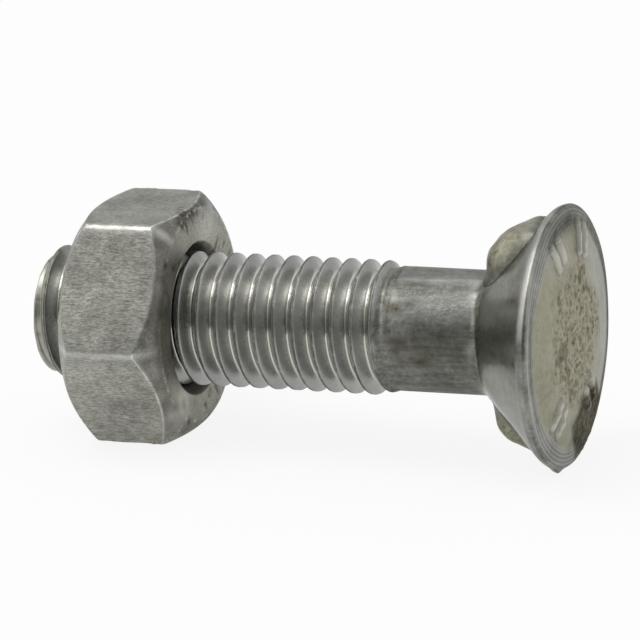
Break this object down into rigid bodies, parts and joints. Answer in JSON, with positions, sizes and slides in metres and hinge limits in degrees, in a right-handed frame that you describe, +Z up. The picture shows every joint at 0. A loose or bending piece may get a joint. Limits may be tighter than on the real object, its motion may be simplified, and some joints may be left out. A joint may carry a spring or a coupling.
{
  "type": "plow bolt with hex nut",
  "caption": "Round countersunk plow bolt with nibs under the head, a part-threaded shank and a hexagon nut run on near the end.",
  "frame": {"origin": "centre of the head's flat outer face", "axes": "+X along the bolt's axis, out of the head's outer face; +Z up with the bolt lying on its side, one flat of the nut down"},
  "size_m": [0.0409, 0.0194, 0.0192],
  "materials": {
    "bolt_steel": "bare forged and rolled steel, dull grey with an olive cast",
    "nut_steel": "bare satin steel with scuffs and dull stains"
  },
  "bodies": {
    "bolt": {"bolt": "bolt_steel"},
    "nut": {"hex_nut": "nut_steel"}
  },
  "joints": [
    {"name": "nut_travel", "type": "slide", "parent": "bolt", "child": "nut", "axis": [1, 0, 0], "range_m": [-0.0105, 0.0135]}
  ]
}
